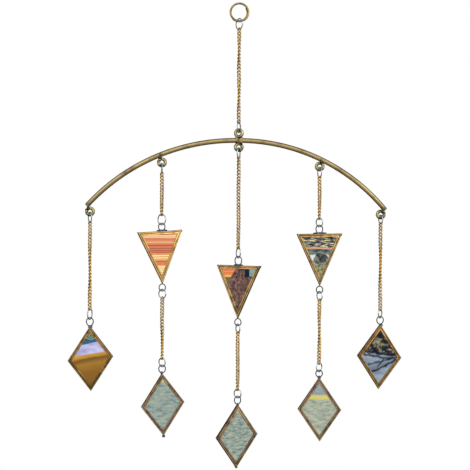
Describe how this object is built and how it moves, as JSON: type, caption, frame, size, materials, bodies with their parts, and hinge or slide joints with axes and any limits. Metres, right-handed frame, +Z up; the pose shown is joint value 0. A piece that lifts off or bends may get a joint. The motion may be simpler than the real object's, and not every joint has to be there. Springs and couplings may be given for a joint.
{
  "type": "hanging mirror decoration",
  "caption": "Wall decoration: brass-framed mirror diamonds and triangles hung on curb chains from eyes brazed to an arched brass rod, with a chain and split ring to hang it by.",
  "frame": {"origin": "inner top of the hanging ring, where the nail or hook bears", "axes": "+Z up, the front faces -Y, +X to the right seen from the front"},
  "size_m": [0.318, 0.0184, 0.4416],
  "materials": {
    "ring_brass": "aged, satin",
    "jump_ring_steel": "satin",
    "chain_brass": "bright, lightly aged",
    "rod_brass": "dark patina with bright rubbed spots",
    "loop_wire": "tinned wire, darkened",
    "triangle_brass": "aged, satin",
    "diamond_brass": "dark brown patina",
    "mirror": "polished, slightly aged"
  },
  "bodies": {
    "root": {"hanging_ring": "ring_brass", "top_chain_top_ring": "jump_ring_steel", "top_chain": "chain_brass", "top_chain_bottom_ring": "jump_ring_steel", "arched_rod": "rod_brass", "far_left_eye": "rod_brass", "left_eye": "rod_brass", "right_eye": "rod_brass", "far_right_eye": "rod_brass", "far_left_chain_top_ring": "jump_ring_steel", "far_left_chain": "chain_brass", "far_left_chain_bottom_ring": "jump_ring_steel", "far_left_diamond_top_loop": "loop_wire", "far_left_diamond_frame": "diamond_brass", "far_left_diamond_mirror": "mirror", "far_right_chain_top_ring": "jump_ring_steel", "far_right_chain": "chain_brass", "far_right_chain_bottom_ring": "jump_ring_steel", "far_right_diamond_top_loop": "loop_wire", "far_right_diamond_frame": "diamond_brass", "far_right_diamond_mirror": "mirror", "left_upper_chain_top_ring": "jump_ring_steel", "left_upper_chain": "chain_brass", "left_upper_chain_bottom_ring": "jump_ring_steel", "left_triangle_top_loop": "loop_wire", "left_triangle_frame": "triangle_brass", "left_triangle_mirror": "mirror", "left_triangle_bottom_loop": "loop_wire", "left_lower_chain_top_ring": "jump_ring_steel", "left_lower_chain": "chain_brass", "left_lower_chain_bottom_ring": "jump_ring_steel", "left_diamond_top_loop": "loop_wire", "left_diamond_frame": "diamond_brass", "left_diamond_mirror": "mirror", "centre_upper_chain_top_ring": "jump_ring_steel", "centre_upper_chain": "chain_brass", "centre_upper_chain_bottom_ring": "jump_ring_steel", "centre_triangle_top_loop": "loop_wire", "centre_triangle_frame": "triangle_brass", "centre_triangle_mirror": "mirror", "centre_triangle_bottom_loop": "loop_wire", "centre_lower_chain_top_ring": "jump_ring_steel", "centre_lower_chain": "chain_brass", "centre_lower_chain_bottom_ring": "jump_ring_steel", "centre_diamond_top_loop": "loop_wire", "centre_diamond_frame": "diamond_brass", "centre_diamond_mirror": "mirror", "right_upper_chain_top_ring": "jump_ring_steel", "right_upper_chain": "chain_brass", "right_upper_chain_bottom_ring": "jump_ring_steel", "right_triangle_top_loop": "loop_wire", "right_triangle_frame": "triangle_brass", "right_triangle_mirror": "mirror", "right_triangle_bottom_loop": "loop_wire", "right_lower_chain_top_ring": "jump_ring_steel", "right_lower_chain": "chain_brass", "right_lower_chain_bottom_ring": "jump_ring_steel", "right_diamond_top_loop": "loop_wire", "right_diamond_frame": "diamond_brass", "right_diamond_mirror": "mirror"}
  },
  "joints": []
}
